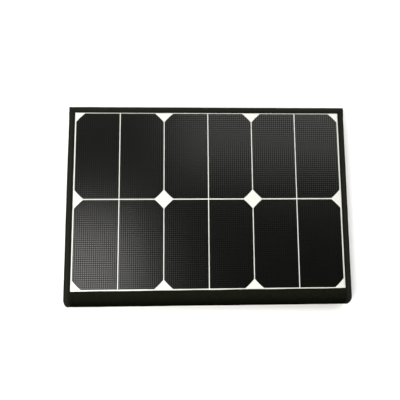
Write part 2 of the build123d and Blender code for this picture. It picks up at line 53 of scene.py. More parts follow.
# ---------------------------------------------------------------- places, from the CAD frame
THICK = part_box("front_binding_end")[1].z
FOLD_RADIUS = THICK / 2
EDGE_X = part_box("front_binding_right")[1].x
FREE_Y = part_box("front_binding_end")[1].y
HINGE_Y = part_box("front_back_fabric")[0].y
WINDOW_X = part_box("front_binding_right")[0].x
WINDOW_TOP_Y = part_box("front_binding_end")[0].y
WINDOW_BOTTOM_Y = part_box("front_hinge_hem")[1].y
LAMINATE_BOTTOM_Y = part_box("front_film")[0].y
CORE_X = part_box("front_film")[1].x
FILM_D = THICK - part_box("front_film")[1].z
STIFFENER_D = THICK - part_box("front_stiffener")[1].z
BACK_FABRIC_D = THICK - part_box("front_back_fabric")[1].z
BACK_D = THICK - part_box("front_back_fabric")[0].z
LEAF_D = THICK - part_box("front_binding_end")[0].z
ARC_END = HINGE_Y - FOLD_RADIUS * pi / 2  # where the cloth's run reaches the middle of the fold
LEAVES = ("front", "rear")
SIDES = {"left": -1, "right": 1}

# ---------------------------------------------------------------- the look's own sizes
SLACK = {"left": 0.6 * MM, "right": 0.0}  # how far each side's tape stands off the laminate's edge
SEAM = 1.9 * MM  # from a tape's inner edge to its stitches
FOLD_CORNER = {"left": 3.5 * MM, "right": 6.0 * MM}  # radius of the fold's ends, seen from above
INGOT_SHARE = 0.64  # the round ingot's radius, in cell heights
CELLS = range(1, 7)  # the cells' numbers on each leaf
EMBOSS_PITCH = 2.95 * MM  # of the film's grid
SHEET_D = 0.86 * MM  # the white sheet's depth in a leaf
HEM_D = 0.05 * MM  # the spine cloth's depth
DOUBLED_D = 1.3 * MM  # depth of the doubled spine cloth's inner face
LEAD_RADIUS = 0.9 * MM
STITCH_SUNK = 0.45 * MM  # depth of the tapes' stitches


def at(leaf, x, run, depth):
    """The point at a depth inside a leaf's outer face. run is Y on the flat, and past the hinge
    line it goes on round the fold, measured along the outer cloth."""
    if run >= HINGE_Y:
        y, z = run, FOLD_RADIUS - depth
    else:
        angle = (HINGE_Y - run) / FOLD_RADIUS
        radius = FOLD_RADIUS - depth
        y = HINGE_Y - radius * sin(angle) * corner_squeeze(x)
        z = radius * cos(angle)
    return Vector((x, y, FOLD_RADIUS + z if leaf == "front" else FOLD_RADIUS - z))


def corner_squeeze(x):
    """How much of its reach the fold keeps near the ends, where the tape rounds the corner."""
    corner = FOLD_CORNER["left" if x < 0 else "right"]
    inside = EDGE_X - corner
    if abs(x) <= inside:
        return 1.0
    step = min(abs(x) - inside, corner)
    return (FOLD_RADIUS - corner + sqrt(corner**2 - step**2)) / FOLD_RADIUS


def spread(low, high, step):
    """Evenly spaced values from low to high, about a step apart."""
    count = max(1, round(abs(high - low) / step))
    return [low + (high - low) * i / count for i in range(count + 1)]


def smooth(value):
    value = min(1.0, max(0.0, value))
    return value * value * (3 - 2 * value)


def wobble(x, y, scale, size):
    """Smooth unevenness of cloth, the same on each run."""
    return size * noise.noise(Vector((x / scale, y / scale, 3.7)))


# ---------------------------------------------------------------- mesh building
def new_piece(name, mesh_data):
    piece = bpy.data.objects.new(name, mesh_data)
    bpy.context.scene.collection.objects.link(piece)
    return piece


def finish_mesh(bm, name, sharp=40):
    """A piece from a bmesh: normals outward, smooth, with creases sharper than an angle kept."""
    bmesh.ops.recalc_face_normals(bm, faces=bm.faces)
    for face in bm.faces:
        face.smooth = True
    limit = sharp * pi / 180
    for edge in bm.edges:
        if len(edge.link_faces) == 2 and edge.calc_face_angle(0) > limit:
            edge.smooth = False
    data = bpy.data.meshes.new(name)
    bm.to_mesh(data)
    bm.free()
    return new_piece(name, data)


def loft(bm, rings):
    """Closed skin over a list of rings, with the cloth's own measure in metres as UV."""
    layer = bm.loops.layers.uv.get("cloth") or bm.loops.layers.uv.new("cloth")
    count = len(rings[0])
    around = [0.0]
    for i in range(count):
        around.append(around[-1] + (rings[0][(i + 1) % count] - rings[0][i]).length)
    along = [0.0]
    for a, b in zip(rings, rings[1:]):
        along.append(along[-1] + sum((q - p).length for p, q in zip(a, b)) / count)
    verts = [[bm.verts.new(point) for point in ring] for ring in rings]
    for j in range(len(rings) - 1):
        for i in range(count):
            k = (i + 1) % count
            face = bm.faces.new((verts[j][i], verts[j][k], verts[j + 1][k], verts[j + 1][i]))
            corners = ((j, i), (j, i + 1), (j + 1, i + 1), (j + 1, i))
            for loop, (row, column) in zip(face.loops, corners):
                loop[layer].uv = (along[row], around[column])
    bm.faces.new(verts[0])
    bm.faces.new(list(reversed(verts[-1])))


def loft_piece(name, rings, sharp=40):
    bm = bmesh.new()
    loft(bm, rings)
    return finish_mesh(bm, name, sharp)


def dress(piece, material):
    piece.data.materials.clear()
    piece.data.materials.append(material)
    return piece


# ---------------------------------------------------------------- materials
class Shader:
    """A material's node tree, with short ways to add what the materials here need."""

    def __init__(self, name, colour, roughness, **sockets):
        self.material = bpy.data.materials.new(name)
        self.material.use_nodes = True
        self.tree = self.material.node_tree
        self.bsdf = self.tree.nodes["Principled BSDF"]
        self.bsdf.inputs["Base Color"].default_value = (*colour, 1)
        self.bsdf.inputs["Roughness"].default_value = roughness
        for socket, value in sockets.items():
            self.bsdf.inputs[socket.replace("_", " ")].default_value = value

    def node(self, kind, inputs=(), **settings):
        made = self.tree.nodes.new(kind)
        for key, value in settings.items():
            setattr(made, key, value)
        for key, value in dict(inputs).items():
            if isinstance(value, bpy.types.NodeSocket):
                self.tree.links.new(value, made.inputs[key])
            else:
                made.inputs[key].default_value = value
        return made

    def math(self, operation, a, b=0.0):
        return self.node("ShaderNodeMath", {0: a, 1: b}, operation=operation).outputs[0]

    def place(self, kind="Object"):
        if kind == "cloth":
            return self.node("ShaderNodeUVMap", uv_map="cloth").outputs[0]
        return self.node("ShaderNodeTexCoord").outputs[kind]

    def noise(self, scale, detail=3.0, coordinates=None):
        where = coordinates or self.place()
        made = self.node("ShaderNodeTexNoise", {"Vector": where, "Scale": scale, "Detail": detail})
        return made.outputs["Fac"]

    def ridges(self, coordinate, pitch):
        """Rounded ridges across one coordinate, from 0 in a groove to 1 on top."""
        turned = self.math("MULTIPLY", coordinate, pi / pitch)
        return self.math("ABSOLUTE", self.math("SINE", turned))

    def range(self, value, low, high):
        """A 0 to 1 value spread over another range."""
        made = self.node("ShaderNodeMapRange", {"Value": value, "To Min": low, "To Max": high})
        return made.outputs["Result"]

    def tint(self, amount, dark, light):
        """Base colour between two tones."""
        mix = self.node("ShaderNodeMix", {"Factor": amount}, data_type="RGBA")
        mix.inputs["A"].default_value = (*dark, 1)
        mix.inputs["B"].default_value = (*light, 1)
        self.tree.links.new(mix.outputs["Result"], self.bsdf.inputs["Base Color"])

    def bump(self, height, distance, strength=1.0, coat=False):
        made = self.node("ShaderNodeBump", {"Height": height, "Distance": distance, "Strength": strength})
        self.tree.links.new(made.outputs[0], self.bsdf.inputs["Normal"])
        if coat:
            self.tree.links.new(made.outputs[0], self.bsdf.inputs["Coat Normal"])

    def roughen(self, value, low, high):
        self.tree.links.new(self.range(value, low, high), self.bsdf.inputs["Roughness"])


def scaled(colour, factor):
    return tuple(channel * factor for channel in colour)


def emboss(shader):
    """The film's fine square grid of pillows: 0 in the grooves, 1 on top."""
    split = shader.node("ShaderNodeSeparateXYZ", {0: shader.place()})
    across = shader.ridges(split.outputs["X"], EMBOSS_PITCH)
    along = shader.ridges(split.outputs["Y"], EMBOSS_PITCH)
    return shader.math("MULTIPLY", across, along)


def under_film(name, colour, dark, light):
    """A surface seen through the laminated film, which gives it a soft, pillowed gloss."""
    shader = Shader(name, colour, 0.6, Specular_IOR_Level=0.0, Coat_IOR=1.75)
    pillows = emboss(shader)
    cloud = shader.noise(14.0, 4.0)
    # painted shade: the base colour is darker in the film's grooves and lighter on its pillows; the cloud
    # adds random tone
    half = shader.math("MULTIPLY", pillows, 0.5)
    shader.tint(shader.math("ADD", half, shader.math("MULTIPLY", cloud, 0.5)), dark, light)
    shader.tree.links.new(pillows, shader.bsdf.inputs["Coat Weight"])
    shader.bsdf.inputs["Coat Roughness"].default_value = 0.26
    shader.bump(pillows, 0.05 * MM, 0.7, coat=True)
    return shader.material


def cell_material():
    dark = (0.0010, 0.0013, 0.0010)
    light = (0.0036, 0.0040, 0.0031)
    return under_film("cell", (0.002, 0.002, 0.002), dark, light)


def backsheet_material():
    dark = (0.62, 0.63, 0.59)
    light = (0.67, 0.68, 0.64)
    return under_film("backsheet", (0.64, 0.65, 0.61), dark, light)


def weave(shader, pitch):
    """Plain weave in the cloth's own measure: warp over weft by turns."""
    split = shader.node("ShaderNodeSeparateXYZ", {0: shader.place("cloth")})
    u = split.outputs["X"]
    v = split.outputs["Y"]
    warp = shader.ridges(u, pitch)
    weft = shader.ridges(v, pitch)
    checker = shader.node("ShaderNodeTexChecker", {"Vector": shader.place("cloth"), "Scale": 1 / pitch})
    mix = shader.node("ShaderNodeMix", {"Factor": checker.outputs["Fac"], "A": warp, "B": weft})
    return mix.outputs["Result"]


def cloth_material(name, colour, pitch=0.45 * MM, fold_shade_reach=0.0):
    """Plain woven cloth. The last argument is how far from its edge it is darkest: painted shade where the
    fold's outer roll turns away from the light.
    """
    shader = Shader(name, colour, 0.72, Specular_IOR_Level=0.0)
    threads = weave(shader, pitch)
    slub = shader.noise(220.0)
    tone = shader.math("ADD", shader.math("MULTIPLY", threads, 0.5), shader.math("MULTIPLY", slub, 0.5))
    # painted shade: the cloth grows darker towards the fold's outer roll, where the fold turns away from
    # the light
    if fold_shade_reach:
        across = shader.node("ShaderNodeSeparateXYZ", {0: shader.place("cloth")}).outputs["Y"]
        painted_fold_shade = shader.math("POWER", shader.ridges(across, fold_shade_reach * 2), 2.5)
        tone = shader.math("MULTIPLY", tone, shader.range(painted_fold_shade, 1.0, 0.0))
    # the cloth with painted fold shade gets a deeper dark tone, so its painted shade goes near black
    shader.tint(tone, scaled(colour, 0.12 if fold_shade_reach else 0.6), scaled(colour, 1.6))
    shader.roughen(shader.noise(40.0), 0.62, 0.85)
    shader.bump(threads, 0.12 * MM, 0.7)
    return shader.material


def tape_material(name, colour, pitch=0.9 * MM, crown=0.0):
    """Ribbed woven tape. crown is the distance between its two painted highlights, lighter stripes along
    the middle of each face where the crowned tape catches the light.
    """
    shader = Shader(name, colour, 0.6, Specular_IOR_Level=0.04)
    split = shader.node("ShaderNodeSeparateXYZ", {0: shader.place("cloth")})
    ribs = shader.ridges(split.outputs["X"], pitch)
    threads = shader.ridges(split.outputs["Y"], pitch / 3)
    height = shader.math("ADD", ribs, shader.math("MULTIPLY", threads, 0.4))
    tone = shader.math("MULTIPLY", height, 0.3)
    tone = shader.math("ADD", tone, shader.math("MULTIPLY", shader.noise(70.0), 0.35))
    # painted highlight: a lighter stripe along the middle of each face of the tape
    if crown:
        painted_crown_highlight = shader.math("POWER", shader.ridges(split.outputs["Y"], crown), 2.5)
        tone = shader.math("ADD", shader.math("MULTIPLY", tone, 0.6), shader.math("MULTIPLY", painted_crown_highlight, 0.55))
    shader.tint(tone, scaled(colour, 0.3), scaled(colour, 1.7))
    shader.roughen(shader.noise(120.0), 0.5, 0.75)
    shader.bump(height, 0.1 * MM, 0.7)
    return shader.material


def moulded_material(name, colour, roughness, grain=900.0):
    """Spark-textured moulding with faint rubbing."""
    shader = Shader(name, colour, roughness)
    fine = shader.noise(grain, 2.0)
    shader.tint(shader.noise(30.0), scaled(colour, 0.8), scaled(colour, 1.3))
    shader.roughen(shader.noise(90.0), roughness - 0.08, roughness + 0.1)
    shader.bump(fine, 0.03 * MM, 0.5)
    return shader.material


def metal_material(name, colour, roughness):
    """Plated or drawn metal with fine lines."""
    shader = Shader(name, colour, roughness, Metallic=1.0)
    split = shader.node("ShaderNodeMapping", {"Vector": shader.place(), "Scale": (40.0, 900.0, 900.0)})
    lines = shader.noise(3.0, 2.0, split.outputs[0])
    shader.tint(lines, scaled(colour, 0.85), scaled(colour, 1.1))
    shader.roughen(lines, roughness - 0.08, roughness + 0.12)
    shader.bump(lines, 0.01 * MM, 0.4)
    return shader.material


CLOTH = (0.0078, 0.0083, 0.0052)
TAPE = (0.0074, 0.0078, 0.0055)
MATERIALS = {
    "cell": cell_material(),
    "backsheet": backsheet_material(),
    "cloth": cloth_material("cloth", CLOTH),
    # the spine cloth carries painted shade on its fold
    "spine_cloth": cloth_material("spine_cloth", CLOTH, fold_shade_reach=29 * MM),
    "lining": cloth_material("lining", scaled(CLOTH, 1.6), 0.6 * MM),
    # the binding carries a painted highlight along the middle of each face
    "binding": tape_material("binding", TAPE, crown=10.2 * MM),
    "thread": tape_material("thread", scaled(CLOTH, 0.9), 0.3 * MM),
    "zip_tape": tape_material("zip_tape", scaled(TAPE, 0.8), 0.6 * MM),
    "zip_teeth": moulded_material("zip_teeth", (0.02, 0.02, 0.02), 0.4),
    "zip_metal": moulded_material("zip_metal", (0.03, 0.03, 0.03), 0.3, 300.0),
    "stiffener": moulded_material("stiffener", (0.05, 0.05, 0.05), 0.6),
    "potting": moulded_material("potting", (0.02, 0.02, 0.02), 0.35, 200.0),
    "ribbon": metal_material("ribbon", (0.7, 0.7, 0.7), 0.35),
    "lead": moulded_material("lead", (0.015, 0.015, 0.015), 0.5, 500.0),
    "case": moulded_material("case", (0.04, 0.042, 0.045), 0.55),
    "steel": metal_material("steel", (0.6, 0.6, 0.6), 0.3),
    "board": moulded_material("board", (0.01, 0.09, 0.035), 0.35, 300.0),
    "components": moulded_material("components", (0.05, 0.05, 0.05), 0.45),
    "socket_metal": metal_material("socket_metal", (0.72, 0.72, 0.73), 0.25),
    "socket_plastic": moulded_material("socket_plastic", (0.015, 0.015, 0.015), 0.4),
    "lamp": moulded_material("lamp", (0.6, 0.75, 0.65), 0.2, 100.0),
}


# ---------------------------------------------------------------- the cells and the sheet they lie on
def half_cell_outline(low, high, side, inset):
    """One half of a clipped wafer between two corners. side is -1 for its left half."""
    size = high.y - low.y
    radius = size * INGOT_SHARE
    middle_y = (low.y + high.y) / 2
    cut_x = low.x + size / 2 if side < 0 else high.x - size / 2
    half = size / 2
    leg = sqrt(radius**2 - half**2)
    steps = 6
    corner = []
    for i in range(steps + 1):
        x = leg + (half - leg) * i / steps
        y = sqrt(radius**2 - x**2)
        corner.append((x, y))
    points = [(inset, half - inset)]
    points += [(x - inset, y - inset * 0.6) for x, y in corner]
    points += [(x - inset, -y + inset * 0.6) for x, y in reversed(corner)]
    points += [(inset, -half + inset)]
    return [(cut_x + side * x, middle_y + y) for x, y in points]


def cell_piece(leaf, number):
    """Both halves of a wafer, as they look under the film: a low plateau with soft edges."""
    node = f"{leaf}_cell_{number}"
    low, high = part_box(node)
    levels = ((0.0, 0.95), (0.0, 0.84), (0.12, 0.76), (0.35, 0.73), (1.2, 0.73))  # inset, depth, mm
    bm = bmesh.new()
    for side in (-1, 1):
        rings = []
        for inset, depth in levels:
            outline = half_cell_outline(low, high, side, inset * MM)
            rings.append([at(leaf, x, y, depth * MM) for x, y in outline])
        loft(bm, rings)
    piece = finish_mesh(bm, f"{leaf}_cell_face_{number}")
    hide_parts(node)
    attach(piece, f"{leaf}_leaf")
    return dress(piece, MATERIALS["cell"])


def face_sheet(leaf):
    """The white sheet under the film, out to the inside of the binding."""
    reach = CORE_X - 0.6 * MM
    under = 2.1 * MM
    edge_d = 1.0 * MM
    soft = 0.2 * MM
    step = 20 * MM
    bm = bmesh.new()
    rings = []
    for y in spread(LAMINATE_BOTTOM_Y, FREE_Y - 1.3 * MM, step):
        outline = [(-reach, under), (-reach, edge_d), (-reach + soft, SHEET_D)]
        outline += [(x, SHEET_D) for x in spread(-reach + step, reach - step, step)]
        outline += [(reach - soft, SHEET_D), (reach, edge_d), (reach, under)]
        rings.append([at(leaf, x, y, depth) for x, depth in outline])
    loft(bm, rings)
    piece = finish_mesh(bm, f"{leaf}_face_sheet")
    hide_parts(f"{leaf}_film", f"{leaf}_encapsulant", f"{leaf}_backsheet")
    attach(piece, f"{leaf}_leaf")
    return dress(piece, MATERIALS["backsheet"])


# ---------------------------------------------------------------- binding tape
def tape_section():
    """The folded tape's section as (inward, depth): a lip, a sewn groove, a crown, a round edge."""
    width = EDGE_X - WINDOW_X
    lip = [(0.0, 0.64), (0.12, 0.42), (0.6, 0.26), (1.3, 0.33)]  # from the inner edge, depth, mm
    crown = [(0.62, 0.08), (0.48, 0.0), (0.34, 0.05)]  # share of the width, depth in mm
    edge = [(0.22, 0.24), (0.11, 0.62), (0.035, 1.2), (0.0, 2.0)]  # the same
    top = [(width - back * MM, depth) for back, depth in lip]
    top += [(width - SEAM, 0.46), (width - 2.5 * MM, 0.30)]
    top += [(width * share, depth) for share, depth in crown + edge]
    front = [(inward, depth * MM) for inward, depth in top]
    back = [(inward, LEAF_D - depth) for inward, depth in reversed(front)]
    inner = [(width, BACK_D), (FILM_D, BACK_D), (FILM_D, FILM_D), (width, FILM_D)]
    return front + back + inner


def side_tape(leaf, side_name):
    """The tape along a leaf's side, on round the fold to its middle."""
    side = SIDES[side_name]
    section = tape_section()
    runs = spread(WINDOW_TOP_Y + 1.0 * MM, HINGE_Y, 3 * MM) + spread(HINGE_Y, ARC_END, 1 * MM)[1:]
    rings = []
    for run in runs:
        bulge = 0.45 * MM * exp(-(((run - WINDOW_TOP_Y) / (5 * MM)) ** 2))
        bulge += wobble(side * EDGE_X, run, 30 * MM, 0.12 * MM)
        bulge += SLACK[side_name] * smooth((FREE_Y - run) / FREE_Y)
        ring = []
        for inward, depth in section:
            outer_share = 1 - inward / (EDGE_X - WINDOW_X)
            edge_shift = wobble(side, run, 14 * MM, 0.15 * MM) * (1 - outer_share)
            x = side * (EDGE_X - inward + bulge * outer_share + edge_shift)
            ring.append(at(leaf, x, run, depth))
        rings.append(ring)
    piece = loft_piece(f"{leaf}_tape_{side_name}", rings)
    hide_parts(f"{leaf}_binding_{side_name}", f"spine_binding_{side_name}")
    blend_over_fold(piece, leaf)
    return dress(piece, MATERIALS["binding"])


def blend_over_fold(piece, leaf):
    """Bakes the piece's transform into its mesh, the same way for either leaf."""
    if leaf == "front":
        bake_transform(piece)
    else:
        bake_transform(piece)


def end_tape(leaf):
    """The tape along the leaf's free edge, over the ends of the side tapes, its own ends tucked in."""
    section = tape_section()
    outline = len(section) - 4  # the last four points are the slot that holds the laminate
    reach = EDGE_X - 0.2 * MM
    tuck = reach - CORE_X + 0.4 * MM
    inner_x = spread(-reach + tuck, reach - tuck, 3 * MM)
    ends = [reach - tuck * share for share in (0.0, 0.25, 0.6)]
    rings = []
    for x in [-end for end in ends] + inner_x + ends[::-1]:
        close = 1 - 0.16 * smooth(1 - (reach - abs(x)) / tuck)
        shift = wobble(x, 1.0, 40 * MM, 0.1 * MM)
        ring = []
        for place, (inward, depth) in enumerate(section):
            if place >= outline and abs(x) > reach - tuck * 0.99:
                depth = LEAF_D / 2
            centred = LEAF_D / 2 + (depth - LEAF_D / 2) * close
            ring.append(at(leaf, x, FREE_Y - inward + shift, centred))
        rings.append(ring)
    piece = loft_piece(f"{leaf}_tape_end", rings)
    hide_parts(f"{leaf}_binding_end")
    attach(piece, f"{leaf}_leaf")
    return dress(piece, MATERIALS["binding"])


# ---------------------------------------------------------------- stitches
STITCH_PITCH = 4.2 * MM
STITCH_LENGTH = 2.9 * MM
THREAD_RADIUS = 0.28 * MM
THREAD_SIDES = 6


def add_stitch(bm, centre, along, up):
    """One stitch of thread: a bead that rises out of the cloth and dips back into it."""
    along = along.normalized()
    across = along.cross(up).normalized()
    up = across.cross(along)
    rings = []
    for share in (-1.0, -0.85, -0.5, 0.0, 0.5, 0.85, 1.0):
        height = 0.1 * MM - 0.3 * MM * share**4
        middle = centre + along * (share * STITCH_LENGTH / 2) + up * height
        girth = THREAD_RADIUS * (1 - 0.45 * share**6)
        turns = [2 * pi * i / THREAD_SIDES for i in range(THREAD_SIDES)]
        rings.append([middle + (across * cos(turn) + up * sin(turn)) * girth for turn in turns])
    loft(bm, rings)


def stitch_row(bm, path, up_of):
    """Stitches along a list of points, each with the direction that up_of gives."""
    lengths = [0.0]
    for a, b in zip(path, path[1:]):
        lengths.append(lengths[-1] + (b - a).length)
    count = int(lengths[-1] / STITCH_PITCH)
    segment = 0
    for i in range(count):
        target = (i + 0.5) * lengths[-1] / count
        while lengths[segment + 1] < target:
            segment += 1
        a, b = path[segment], path[segment + 1]
        share = (target - lengths[segment]) / (lengths[segment + 1] - lengths[segment])
        centre = a.lerp(b, share)
        add_stitch(bm, centre, b - a, up_of(centre))


def outward(leaf, face):
    """Direction out of a leaf's cell face or out of its back, turning with the fold."""
    sign = 1 if (leaf == "front") == (face == "cells") else -1

    def direction(point):
        if point.y >= HINGE_Y:
            return Vector((0, 0, sign))
        radial = Vector((0, point.y - HINGE_Y, point.z - FOLD_RADIUS)).normalized()
        return radial if face == "cells" else -radial

    return direction


def stitches(leaf):
    """The seams: along the tapes' inner edges on both faces, and along the hem."""
    up = {face: outward(leaf, face) for face in ("cells", "back")}
    depths = {"cells": STITCH_SUNK, "back": LEAF_D - STITCH_SUNK}
    bm = bmesh.new()
    for side in SIDES.values():
        x = side * (WINDOW_X + SEAM)
        runs = spread(WINDOW_TOP_Y + SEAM, ARC_END, 2 * MM)
        for face, depth in depths.items():
            stitch_row(bm, [at(leaf, x, run, depth) for run in runs], up[face])
    hem_x = WINDOW_X - 2 * SEAM
    hem_d = 0.06 * MM
    hem_row = [at(leaf, x, WINDOW_BOTTOM_Y - SEAM, hem_d) for x in (-hem_x, hem_x)]
    stitch_row(bm, hem_row, up["cells"])
    piece = finish_mesh(bm, f"{leaf}_side_stitches", 80)
    blend_over_fold(piece, leaf)
    dress(piece, MATERIALS["thread"])
    bm = bmesh.new()
    end_x = EDGE_X - 2 * SEAM
    for face, depth in depths.items():
        ends = [at(leaf, x, WINDOW_TOP_Y + SEAM, depth) for x in (-end_x, end_x)]
        stitch_row(bm, ends, up[face])
    piece = finish_mesh(bm, f"{leaf}_end_stitches", 80)
    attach(piece, f"{leaf}_leaf")
    dress(piece, MATERIALS["thread"])


# ---------------------------------------------------------------- hem, spine cloth, lining, leads
def spine_cloth(leaf):
    """The doubled cloth: a folded edge on the laminate, a flat hem, then round to the middle."""
    turned = [(0.0, 0.66), (0.12, 0.42), (0.0, 0.2), (-0.5, 0.09), (-1.4, 0.05)]  # run, depth, mm
    edge = [(WINDOW_BOTTOM_Y + run * MM, depth * MM) for run, depth in turned]
    flat = [(run, HEM_D) for run in spread(WINDOW_BOTTOM_Y - 3 * MM, HINGE_Y, 2 * MM)]
    arc = [(run, HEM_D) for run in spread(HINGE_Y, ARC_END, 1 * MM)[1:]]
    inner_arc = [(run, DOUBLED_D) for run in reversed(spread(HINGE_Y, ARC_END, 1 * MM))]
    under = [(LAMINATE_BOTTOM_Y, DOUBLED_D), (LAMINATE_BOTTOM_Y, 0.68 * MM)]
    outline = edge + flat + arc + inner_arc + under
    reach = WINDOW_X + 3 * MM
    rings = []
    for x in spread(-reach, reach, 4 * MM):
        tuck = 0.6 * MM * smooth((abs(x) - WINDOW_X + 1.0 * MM) / (2.0 * MM))
        slope = 0.5 * MM * x / WINDOW_X
        ring = []
        for run, depth in outline:
            free = smooth((HINGE_Y + 9 * MM - run) / (6 * MM)) * smooth((run - ARC_END) / (3 * MM))
            pucker = wobble(x, run, 22 * MM, 0.22 * MM) * free
            near_edge = smooth((run - HINGE_Y) / (WINDOW_BOTTOM_Y - HINGE_Y))
            wander = (wobble(x, 7.0, 35 * MM, 0.35 * MM) + slope) * near_edge
            outer_face = depth < 0.5 * MM
            sunk = tuck + pucker + 0.1 * MM if outer_face else 0
            ring.append(at(leaf, x, run + wander, depth + sunk))
        rings.append(ring)
    piece = loft_piece(f"{leaf}_spine_cloth", rings)
    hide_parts(f"{leaf}_hinge_hem", "spine_fabric")
    blend_over_fold(piece, leaf)
    return dress(piece, MATERIALS["spine_cloth"])


def spine_lining(leaf):
    """The inner cloth of the fold, lapped onto the back fabric."""
    runs = spread(HINGE_Y + 6 * MM, HINGE_Y, 2 * MM) + spread(HINGE_Y, ARC_END, 1 * MM)[1:]
    reach = CORE_X - 0.3 * MM
    rings = []
    for x in spread(-reach, reach, 8 * MM):
        ring = []
        for run in runs:
            lap = 0.18 * MM * smooth((run - HINGE_Y) / (2 * MM))
            loose = wobble(x, run, 25 * MM, 0.25 * MM) * smooth((HINGE_Y - run) / (4 * MM))
            loose *= smooth((run - ARC_END) / (3 * MM))
            ring.append(at(leaf, x, run, BACK_D + lap + loose))
        ring += [at(leaf, x, run, BACK_FABRIC_D + 0.1 * MM) for run in reversed(runs)]
        rings.append(ring)
    piece = loft_piece(f"{leaf}_spine_lining", rings)
    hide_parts("spine_lining")
    blend_over_fold(piece, leaf)
    return dress(piece, MATERIALS["lining"])


def jumper(leaf):
    """The two leads' half of their way round the fold, from the junction block."""
    low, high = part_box("jumper_leads")
    depth = (STIFFENER_D + BACK_FABRIC_D) / 2
    sides = 12
    bm = bmesh.new()
    for x in (low.x + LEAD_RADIUS, high.x - LEAD_RADIUS):
        rings = []
        for run in spread(high.y, HINGE_Y, 2 * MM) + spread(HINGE_Y, ARC_END, 1 * MM)[1:]:
            ring = []
            for i in range(sides):
                angle = 2 * pi * i / sides
                outward_x = LEAD_RADIUS * cos(angle)
                deeper = LEAD_RADIUS * sin(angle)
                ring.append(at(leaf, x + outward_x, run, depth + deeper))
            rings.append(ring)
        loft(bm, rings)
    piece = finish_mesh(bm, f"{leaf}_jumper", 60)
    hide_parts("jumper_leads")
    blend_over_fold(piece, leaf)
    return dress(piece, MATERIALS["lead"])


def back_cloth(leaf):
    """The cloth glued over the stiffener, its edges under the tapes."""
    reach = CORE_X - 0.3 * MM
    rings = []
    for y in spread(HINGE_Y + 0.2 * MM, FREE_Y - 1.2 * MM, 6 * MM):
        columns = spread(-reach, reach, 8 * MM)
        top = [(x, BACK_D + wobble(x, y, 45 * MM, 0.12 * MM) - 0.08 * MM) for x in columns]
        ring = top + [(reach, BACK_FABRIC_D + 0.02 * MM), (-reach, BACK_FABRIC_D + 0.02 * MM)]
        rings.append([at(leaf, x, y, depth) for x, depth in ring])
    piece = loft_piece(f"{leaf}_back_cloth", rings)
    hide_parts(f"{leaf}_back_fabric")
    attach(piece, f"{leaf}_leaf")
    return dress(piece, MATERIALS["cloth"])


# ---------------------------------------------------------------- pocket
PANEL_LOW, PANEL_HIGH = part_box("pocket_panel")
POCKET_CORNER = 14 * MM
FLANGE = PANEL_LOW.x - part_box("pocket_gusset")[0].x


def pocket_path(offset=0.0):
    """The pocket's outline, moved outward, from the zip round to the zip again: points and ways out."""
    step = 3 * MM
    side = PANEL_HIGH.x + offset
    foot = PANEL_LOW.y - offset
    radius = POCKET_CORNER + offset
    turns = 8  # steps round each corner
    straight = spread(PANEL_HIGH.y, foot + radius, step)
    left = [(Vector((-side, y, 0)), Vector((-1, 0, 0))) for y in straight]
    for i in range(1, turns + 1):
        angle = pi + pi / 2 * i / turns
        way = Vector((cos(angle), sin(angle), 0))
        left.append((Vector((radius - side, foot + radius, 0)) + way * radius, way))
    across = spread(radius - side, side - radius, step)
    bottom = [(Vector((x, foot, 0)), Vector((0, -1, 0))) for x in across]
    right = [(Vector((-p.x, p.y, 0)), Vector((-w.x, w.y, 0))) for p, w in reversed(left)]
    return left + bottom[1:-1] + right


def pocket_wall():
    """The gusset: a soft wall with a flange sewn down to the back cloth."""
    top = PANEL_LOW.z
    base = BACK_D
    height = top - base
    reach = FLANGE - 0.2 * MM
    outer = [(0.0, top), (0.5 * MM, base + 0.75 * height), (0.9 * MM, base + 0.5 * height)]
    outer += [(0.6 * MM, base + 0.25 * height), (0.3 * MM, base + 1.0 * MM), (0.9 * MM, base + 0.65 * MM)]
    outer += [(reach, base + 0.6 * MM), (reach + 0.15 * MM, base + 0.3 * MM), (reach, base + 0.02 * MM)]
    inner = [(-0.5 * MM, base + 0.02 * MM), (0.3 * MM, base + 0.5 * height), (-0.5 * MM, top)]
    rings = []
    for point, way in pocket_path():
        sway = wobble(point.x, point.y, 20 * MM, 0.5 * MM)
        ring = []
        for out, z in outer + inner:
            share = sin(pi * min(1.0, max(0.0, (z - base) / height)))
            ring.append(point + way * (out + sway * share) + Vector((0, 0, z)))
        rings.append(ring)
    piece = loft_piece("pocket_wall", rings)
    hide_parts("pocket_gusset")
    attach(piece, "rear_leaf")
    return dress(piece, MATERIALS["cloth"])


def pocket_seam():
    """The bound seam round the pocket's upper edge, and the stitches beside it and on the flange."""
    radius = 0.85 * MM
    sides = 10
    height = PANEL_HIGH.z - radius
    rings = []
    for point, way in pocket_path():
        ring = []
        for i in range(sides):
            angle = 2 * pi * i / sides
            out = radius * cos(angle) - 0.2 * MM
            ring.append(point + way * out + Vector((0, 0, height + radius * sin(angle))))
        rings.append(ring)
    piece = loft_piece("pocket_seam", rings, 60)
    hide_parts("pocket_gusset")
    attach(piece, "rear_leaf")
    dress(piece, MATERIALS["binding"])
    bm = bmesh.new()
    for offset, z in ((FLANGE - SEAM, BACK_D + 0.6 * MM), (-SEAM, PANEL_HIGH.z - 0.12 * MM)):
        row = [point + Vector((0, 0, z)) for point, way in pocket_path(offset)]
        stitch_row(bm, row, lambda point: Vector((0, 0, 1)))
    piece = finish_mesh(bm, "pocket_stitches", 80)
    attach(piece, "rear_leaf")
    dress(piece, MATERIALS["thread"])


